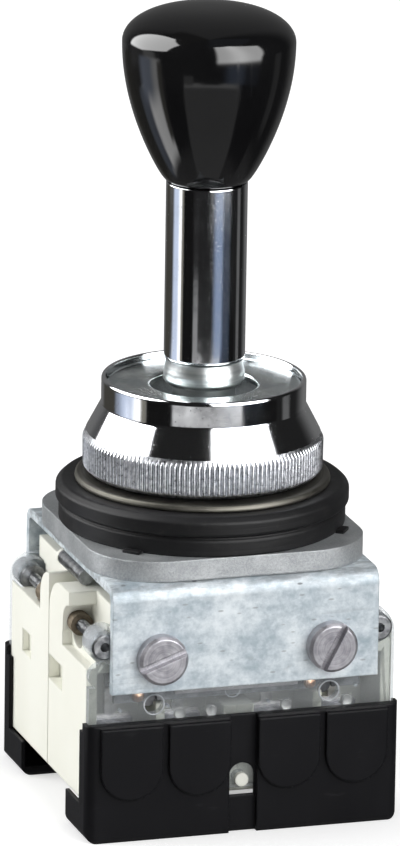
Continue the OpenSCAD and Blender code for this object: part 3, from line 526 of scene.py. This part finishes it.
settle(shader, dirt_and_top_darkening.blend_colours(shade, dirt_and_top_darkening.tint((0.34, 0.37, 0.39), (0.14, 0.15, 0.16))),
       0.42 + mottle * 0.16 + drag * 0.12, mottle * 0.7 + fine * 0.5 - drag * 0.4,
       0.00003, 0.0004, Metallic=0.22, Specular_IOR_Level=0.3)
dress(zinc_sheet, "bracket")


# ---------------------------------------------------------------------------
# Screws: slotted screws with turned heads, nickelled. Rings from the lathe
# show on the faces.
# ---------------------------------------------------------------------------
screw_nickel, at, shader = start_finish("screw_nickel")
x, z = (at.node("SeparateXYZ", {0: at}, out=i) for i in (0, 2))
head_x, head_z = 0.0146, -0.0159
across, up = abs(x) - head_x, z - head_z
ring = (across * across + up * up) ** 0.5
rings = at.node("CombineXYZ", {0: ring}).noise(3800, 2)
stain = at.noise(600, 4, 0.6)
face = (stain * 0.6 + rings * 0.4).between(0.3, 0.7)
settle(shader, face.tint((0.26, 0.255, 0.28), (0.50, 0.49, 0.52)),
       0.24 + stain * 0.2, rings + stain * 0.5, 0.00003, 0.0003, Metallic=0.65)
dress(screw_nickel, "flange_screws", "plate_screws", "terminal_screws", "terminal_clamps")


# ---------------------------------------------------------------------------
# Contact blocks: two blocks moulded in cream polyamide, back to back, each
# with two pairs of contacts. The moulding is satin, with faint flow marks.
# ---------------------------------------------------------------------------
cream, at, shader = start_finish("cream_moulding")
flow = at.noise(45, 3, 0.5, (1, 1, 0.5))
grain = at.noise(2200, 3, 0.6)
speck = at.cells(420).between(0.02, 0.05)
body_tone = flow.between(0.3, 0.7).tint((0.85, 0.85, 0.76), (0.90, 0.90, 0.82))
speck_tone = speck.tint((0.85, 0.845, 0.75), (0.80, 0.78, 0.65))
settle(shader, (1 - speck).blend_colours(body_tone, speck_tone),
       0.42 + grain * 0.12, grain * 0.4 + flow, 0.00003, 0.0005, Specular_IOR_Level=0.4)
sides = ("south", "east", "north", "west")
dress(cream, "front_body", "rear_body", "cross_pin_caps", "guide_plate",
      *("pusher_" + side_name for side_name in sides))

# The carriers behind the clear covers are real parts, coloured dark grey for the shade in the space
# there: painted shade.
carrier_shade_grey, at, shader = start_finish("carrier_shade_grey")
grain = at.noise(1200, 3)
cloud = at.noise(260, 3, 0.6).between(0.35, 0.65)
settle(shader, cloud.tint((0.13, 0.135, 0.145), (0.34, 0.345, 0.36)),
       0.4 + grain * 0.2, grain, 0.00003, 0.0002)
dress(carrier_shade_grey, "front_carrier", "rear_carrier")

contact_metal, at, shader = start_finish("contact_metal")
stamp = at.noise(700, 4)
settle(shader, stamp.between(0.3, 0.7).tint((0.60, 0.57, 0.55), (0.88, 0.86, 0.83)),
       0.25 + stamp * 0.2, stamp, 0.00002, 0.0001, Metallic=1.0)
dress(contact_metal, "front_contacts", "rear_contacts",
      *("bridge_" + side_name for side_name in sides))


# ---------------------------------------------------------------------------
# Block covers: clear plates that close the fronts of the blocks, with lobes
# round the stacking screws. They are thin, so light goes straight through.
# ---------------------------------------------------------------------------
clear, at, shader = start_finish("clear_cover")
tree = shader.id_data
wave = at.noise(240, 3)
scuff = at.noise(1300, 3, 0.6, (0.3, 0.3, 1)).between(0.58, 0.72)
settle(shader, (0.80, 0.83, 0.86, 1), 0.06 + scuff * 0.25, wave + scuff * 0.1,
       0.00006, 0.0003, Specular_IOR_Level=0.7)
through = tree.nodes.new("ShaderNodeBsdfTransparent")
through.inputs[0].default_value = (0.955, 0.97, 0.975, 1)
rim = at.node("LayerWeight", {"Blend": 0.28}, out=1)
mix = at.node("MixShader", {0: 0.10 + rim * 0.55 + scuff * 0.08})
tree.links.new(through.outputs[0], mix.socket.node.inputs[1])
tree.links.new(shader.outputs[0], mix.socket.node.inputs[2])
output = [n for n in tree.nodes if n.type == "OUTPUT_MATERIAL"][0]
tree.links.new(mix.socket, output.inputs[0])
dress(clear, "front_cover", "rear_cover")


def about_y(profile, x, z, turns=40):
    """A profile of (radius, y) pairs carried round the line along Y through x and z."""
    grid = turned(np.asarray(profile, float), turns)
    return np.stack([grid[..., 0] + x, grid[..., 2], grid[..., 1] + z], 2)


def bar(low, high, radius):
    """A bar along X with rounded long edges, from its low corner to its high one."""
    (x0, y0, z0), (x1, y1, z1) = low, high
    round_it = fillet([(y0, z0), (y1, z0), (y1, z1), (y0, z1), (y0, z0)], radius, 3)
    middle = 0 * round_it + ((y0 + y1) / 2, (z0 + z1) / 2)
    across = np.stack([middle, round_it, round_it, middle])
    along = np.array([x0, x0, x1, x1])[:, None, None] + 0 * across[..., :1]
    return np.concatenate([along, across], 2)


def hoop(x, y, z, radius, thick, start=0, end=360):
    """A round wire bent round the line along Y through x and z, from start to end
    in degrees."""
    a = np.radians(np.linspace(start, end, 49))[:, None]
    b = np.linspace(0, 2 * math.pi, 10, endpoint=False)[None]
    out = radius + thick * np.cos(b)
    grid = np.stack([x + out * np.cos(a), y + thick * np.sin(b) + 0 * a,
                     z + out * np.sin(a)], 2)
    return grid[:-1] if end - start == 360 else capped(grid)


def both_blocks(name, material, parts):
    """The same surfaces on the front block and, turned half round Z, on the rear one."""
    half_round = np.array([-1, -1, 1])
    turned_round = [(grid * half_round, wrap_u, wrap_v) for grid, wrap_u, wrap_v in parts]
    return piece(name, "base", material, parts + turned_round)


clear_edge, at, shader = start_finish("clear_edge")
cloud = at.noise(500, 3)
settle(shader, cloud.between(0.3, 0.7).tint((0.50, 0.53, 0.57), (0.78, 0.80, 0.83)),
       0.08 + cloud * 0.15, cloud, 0.00002, Alpha=0.8)
face_y, back_y, hole_x, hole_z = -23.3, -21.8, 15.1, -24.4
peg = [(0, back_y + 0.9), (0.28, back_y + 0.9), (0.28, back_y + 0.1), (0, back_y + 0.1)]
peg_places = ((-20.4, -25.6), (20.3, -24.4), (5.2, -26.0), (-12.2, -25.4))
both_blocks("cover_lips", clear_edge,
            [(hoop(x, face_y, hole_z, 1.72, 0.13), True, True) for x in (-hole_x, hole_x)]
            + [(hoop(-1.0, back_y + 0.3, -23.5, 1.25, 0.12, 180, 360), False, True)]
            + [(about_y(peg, x, z), True, False) for x, z in peg_places])

sill_grey, at, shader = start_finish("sill_grey")
cloud = at.noise(320, 3)
settle(shader, cloud.between(0.3, 0.7).tint((0.58, 0.54, 0.55), (0.80, 0.76, 0.77)),
       0.28 + cloud * 0.2, cloud, 0.00003)
# Dark grey discs close the carrier holes so that the holes look dark: painted shade.
hole_shade_disc = [(0, back_y + 2.1), (1.22, back_y + 2.1), (1.22, back_y + 1.7), (0, back_y + 1.7)]
both_blocks("hole_shade_discs", carrier_shade_grey,
            [(about_y(hole_shade_disc, x, hole_z), True, False) for x in (-hole_x, hole_x)])
sill = bar((-10.9, back_y + 0.1, -23.4), (10.2, back_y + 0.9, -22.0), 0.2)
both_blocks("cover_sill", sill_grey, [(sill, False, False)])

copper, at, shader = start_finish("copper_rivet")
tarnish = at.noise(900, 3)
settle(shader, tarnish.between(0.3, 0.7).tint((0.50, 0.28, 0.17), (0.80, 0.58, 0.44)),
       0.22 + tarnish * 0.2, tarnish, 0.00002, Metallic=1.0)
rivet_head = [(0, back_y + 0.98), (1.0, back_y + 0.98), (1.05, back_y + 0.7),
              (0.85, back_y + 0.4), (0.45, back_y + 0.22), (0, back_y + 0.16)]
both_blocks("contact_rivets", copper,
            [(about_y(rivet_head, x, -23.5), True, False) for x in (-17.2, 12.5)])

# Small bright metal lugs stand where bright highlights show behind the covers: painted highlights.
highlight_lug = [(0, back_y + 0.9), (0.95, back_y + 0.9), (1.1, back_y + 0.7),
       (0.9, back_y + 0.35), (0.5, back_y + 0.5), (0, back_y + 0.45)]
both_blocks("highlight_lugs", contact_metal,
            [(about_y(highlight_lug, x, -26.9), True, False) for x in (-10.0, -4.6, 8.4, 18.9)])


# ---------------------------------------------------------------------------
# Guards: black clip-on covers over the terminals, moulded in a slightly soft
# plastic. They are smooth, with faint scuffs and a dull blue-grey reflection.
# ---------------------------------------------------------------------------
black_guard, at, shader = start_finish("black_guard")
smear = at.noise(70, 4, 0.6, (1, 1, 0.5))
scuff = at.noise(900, 3, 0.6, (0.25, 1, 1)).between(0.62, 0.74)
grain = at.noise(2600, 2)
face = (smear * 0.7 + scuff * 0.3).between(0.3, 0.8)
settle(shader, face.tint((0.005, 0.005, 0.006), (0.011, 0.011, 0.0125)),
       0.30 + smear * 0.14 + scuff * 0.12, smear + grain * 0.15, 0.00004, 0.0005,
       Specular_IOR_Level=0.13)
dress(black_guard, "front_guard", "rear_guard")


# ---------------------------------------------------------------------------
# Stacking screws: blackened steel screws along both sides of the blocks, with
# a socket end at the front and a collar in the block at the back, painted dark tan for the shade and
# the tan reflection in its recess.
# ---------------------------------------------------------------------------
dark_steel, at, shader = start_finish("dark_plated_steel")
oil = at.noise(900, 4, 0.6)
settle(shader, oil.between(0.3, 0.7).tint((0.20, 0.205, 0.215), (0.40, 0.41, 0.42)),
       0.22 + oil * 0.2, oil, 0.00002, 0.0001, Metallic=1.0)
dress(dark_steel, "stacking_screws", "cross_pins")
# the collar's dark tan is painted shade of its recess with a painted reflection of the tan recess
# floor
collar_shade, at, shader = start_finish("collar_painted_shade")
collar_streaks = at.noise(1500, 4, 0.6, (1, 0.3, 1))
settle(shader, collar_streaks.between(0.3, 0.7).tint((0.07, 0.055, 0.035), (0.16, 0.125, 0.085)),
       0.5 + collar_streaks * 0.2, collar_streaks, 0.00003, 0.0002)
dress(collar_shade, "stacking_collars")


# ---------------------------------------------------------------------------
# Studio: the camera, two soft boxes, a painted tent that only reflections
# see, a pale floor and a white world.
# ---------------------------------------------------------------------------
scene = bpy.context.scene
scene.view_settings.view_transform = "Standard"
floor_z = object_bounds()[0][2]
eye = Vector((-0.44475, -1.39951, 0.43616))
ahead = (-eye).normalized()
right = ahead.cross(Vector((0, 0, 1))).normalized()
above = right.cross(ahead)
roll = math.radians(0.902)
cos_roll, sin_roll = math.cos(roll), math.sin(roll)
right, above = right * cos_roll + above * sin_roll, above * cos_roll - right * sin_roll
# the focal length and the shifts are in the unit of the view's height
frame_tall, focal, shift_right, shift_up = 846, 9215.8, 200 - 201.757, 516.358 - 423
aim = (ahead * focal + right * shift_right + above * shift_up).normalized()
right = (right - aim * right.dot(aim)).normalized()
above = right.cross(aim)
camera = bpy.data.objects.new("camera", bpy.data.cameras.new("camera"))
scene.collection.objects.link(camera)
camera.matrix_world = Matrix((
    (right.x, above.x, -aim.x, eye.x), (right.y, above.y, -aim.y, eye.y),
    (right.z, above.z, -aim.z, eye.z), (0, 0, 0, 1)))
sensor = 36
camera.data.sensor_width = sensor
camera.data.lens = sensor * focal / frame_tall
camera.data.clip_start = 0.05
scene.camera = camera

toward = Vector((eye.x, eye.y, 0)).normalized()
side = Vector((-toward.y, toward.x, 0))


def around(turn, rise, far):
    """A point far metres away, turned to the camera's right by turn degrees."""
    turn, rise = math.radians(turn), math.radians(rise)
    flat = toward * math.cos(turn) + side * math.sin(turn)
    return flat * (math.cos(rise) * far) + Vector((0, 0, math.sin(rise) * far + 0.03))


def soft_box(name, turn, rise, far, wide, tall, power):
    """A rectangular lamp that faces the object."""
    lamp = bpy.data.lights.new(name, "AREA")
    lamp.shape, lamp.size, lamp.size_y, lamp.energy = "RECTANGLE", wide, tall, power
    made = bpy.data.objects.new(name, lamp)
    made.location = around(turn, rise, far)
    made.rotation_euler = (Vector((0, 0, 0.03)) - made.location).to_track_quat("-Z", "Y").to_euler()
    made.visible_glossy = False
    scene.collection.objects.link(made)


soft_box("left_box", -98, 22, 1.5, 1.3, 0.55, 17)
soft_box("right_box", 46, 32, 1.5, 1.3, 0.40, 11)


def soft_step(value, low, high, edge):
    """1 between low and high, falling smoothly to 0 over edge outside them."""
    up = np.clip((value - low) / edge + 1, 0, 1)
    down = np.clip((high - value) / edge + 1, 0, 1)
    return up * up * (3 - 2 * up) * down * down * (3 - 2 * down)


# A round tent that only reflections see: it runs out over the floor, up a wall
# and in over the top. far is the way along it from the middle of the floor.
wall_far, wall_high = 1.2, 3.6
far = np.concatenate([np.linspace(0, 0.5, 76), np.linspace(0.53, wall_far, 16),
                      np.linspace(wall_far + 0.04, wall_far + wall_high, 60),
                      np.linspace(4.9, 5.99, 10)])
turn = np.linspace(-180, 180, 240, endpoint=False)
run = np.minimum(np.minimum(far, wall_far), 2 * wall_far + wall_high - far)
rise = np.clip(far - wall_far, 0, wall_high) + 0.0005
reach = np.radians(turn)[:, None]
tent = (np.array(toward) * (np.cos(reach) * run)[..., None]
        + np.array(side) * (np.sin(reach) * run)[..., None])
tent[..., 2] = floor_z + rise
T, F = np.meshgrid(turn, far, indexing="ij")
warm, cold, blue, plain = (1.05, 1.0, 0.86), (0.84, 0.95, 1.18), (0.74, 0.94, 1.34), (1, 1, 1)
glow = np.full(T.shape + (3,), 0.016)
# each patch: its turns and their edge, its far and its edge, brightness and tint
for low, high, edge, near, end, soft, level, tone in (
        (-180, -150, 30, 0.0, 6.0, 0.1, 0.16, plain), (150, 180, 30, 0.0, 6.0, 0.1, 0.16, plain),
        (-142, -104, 14, 0.0, 0.5, 0.05, 0.055, warm),
        (-118, -80, 14, 0.45, 1.30, 0.10, 0.14, plain), (-92, -80, 8, 0.42, 1.35, 0.20, 0.60, plain),
        (10, 100, 20, 3.4, 6.0, 0.30, 0.09, cold), (-140, -60, 20, 3.6, 6.0, 0.30, 0.03, warm),
        (-180, 180, 9, 0.0, 0.09, 0.05, 0.13, plain),
        (-104, -69, 5, 0.10, 0.27, 0.02, 3.0, plain), (-110, -100, 8, 0.10, 0.27, 0.02, 0.35, cold),
        (-88, -71, 6, 0.27, 0.46, 0.10, 1.6, plain), (-98, -88, 12, 0.27, 0.46, 0.10, 0.80, cold),
        (-71, -67, 4, 0.12, 0.46, 0.02, 0.22, warm),
        (-64, -38, 4, 0.10, 1.20, 0.03, 0.008, plain), (50, 86, 4, 0.09, 0.30, 0.03, 0.008, plain),
        (-33, 44, 3, 0.0, 0.250, 0.006, 0.30, plain), (-32, 41, 3, 0.250, 0.272, 0.004, 0.92, plain),
        (-3, 10, 14, 0.268, 0.296, 0.004, 0.02, plain), (-31, -23, 5, 0.272, 0.32, 0.02, 0.28, plain),
        (32, 47, 16, 0.280, 0.46, 0.01, 0.34, blue), (54, 64, 12, 0.276, 0.46, 0.01, 0.07, blue),
        (100, 107, 5, 0.18, 0.95, 0.05, 0.13, plain)):
    mask = soft_step(T, low, high, edge) * soft_step(F, near, end, soft)
    glow = glow * (1 - mask)[..., None] + mask[..., None] * level * np.array(tone)
# the left soft box has a bowed edge and slanting ends, the right one leans in
mask = soft_step(T, -127 + np.abs(F - 2.0) ** 2 * 9, -62, 4)
mask = mask * soft_step(F, 1.42 + np.clip(T + 98, 0, 40) * 0.012,
                        3.95 - np.clip(T + 110, 0, 60) * 0.018, 0.14)
glow = np.maximum(glow, (mask * 7.0)[..., None])
lean_in = 70 + np.clip((F - 1.2) * 9, 0, 22) - np.clip(F - 2.4, 0, 2) * 45
mask = soft_step(T, 14, lean_in, 6) * soft_step(F, 0.60, 3.50, 0.16)
glow = np.maximum(glow, (mask * (5.6 + 2.4 * np.exp(-((T - 42) / 13.0) ** 2)))[..., None])
rows, columns = T.shape
i, j = (m.ravel() for m in np.meshgrid(np.arange(rows), np.arange(columns - 1), indexing="ij"))
here, beside = i * columns + j, (i + 1) % rows * columns + j
panels = np.stack([here, beside, beside + 1, here + 1], 1)
tent_mesh = bpy.data.meshes.new("tent")
tent_mesh.from_pydata(tent.reshape(-1, 3).tolist(), [], panels.tolist())
painted = tent_mesh.color_attributes.new("glow", "FLOAT_COLOR", "POINT")
colours = np.concatenate([glow, np.ones_like(glow[..., :1])], 2)
painted.data.foreach_set("color", colours.ravel().astype(np.float32))
tent_glow = bpy.data.materials.new("tent_glow")
tent_glow.use_nodes = True
tree = tent_glow.node_tree
tree.nodes.clear()
lit = tree.nodes.new("ShaderNodeEmission")
paint = tree.nodes.new("ShaderNodeAttribute")
paint.attribute_name = "glow"
tree.links.new(paint.outputs["Color"], lit.inputs[0])
tree.links.new(lit.outputs[0], tree.nodes.new("ShaderNodeOutputMaterial").inputs[0])
tent_glow.cycles.emission_sampling = "NONE"
tent_mesh.materials.append(tent_glow)
tent_shell = bpy.data.objects.new("tent", tent_mesh)
scene.collection.objects.link(tent_shell)
tent_shell.visible_camera = tent_shell.visible_diffuse = tent_shell.visible_shadow = False
tent_shell.visible_transmission = tent_shell.visible_volume_scatter = False


def looked_at(tree):
    """1 on what the camera sees, in a mirror and through glass too, and 0 on the
    rays that light the object."""
    rays = tree.nodes.new("ShaderNodeLightPath").outputs
    seen, mirrored, through = (Wire(rays["Is " + kind + " Ray"])
                               for kind in ("Camera", "Glossy", "Transmission"))
    return seen + mirrored + through


floor_mesh = bpy.data.meshes.new("floor")
floor_half = 6
floor_corners = [(x * floor_half, y * floor_half, floor_z)
                 for x, y in ((-1, -1), (1, -1), (1, 1), (-1, 1))]
floor_mesh.from_pydata(floor_corners, [], [(0, 1, 2, 3)])
pale = bpy.data.materials.new("pale_floor")
pale.use_nodes = True
tree = pale.node_tree
paint = tree.nodes["Principled BSDF"]
paint.inputs["Base Color"].default_value = (0.82, 0.82, 0.82, 1)
paint.inputs["Roughness"].default_value = 0.9
paint.inputs["Specular IOR Level"].default_value = 0.0
seen = looked_at(tree)
paint.inputs["Emission Color"].default_value = (1, 1, 1, 1)
tree.links.new((seen * 0.45).socket, paint.inputs["Emission Strength"])
floor_mesh.materials.append(pale)
floor = bpy.data.objects.new("floor", floor_mesh)
scene.collection.objects.link(floor)

world = bpy.data.worlds.new("studio")
scene.world = world
world.use_nodes = True
tree = world.node_tree
seen = looked_at(tree)
background = tree.nodes["Background"]
background.inputs[0].default_value = (1, 1, 1, 1)
tree.links.new((0.42 + seen.math("MINIMUM", seen, 1.0) * 0.58).socket, background.inputs[1])
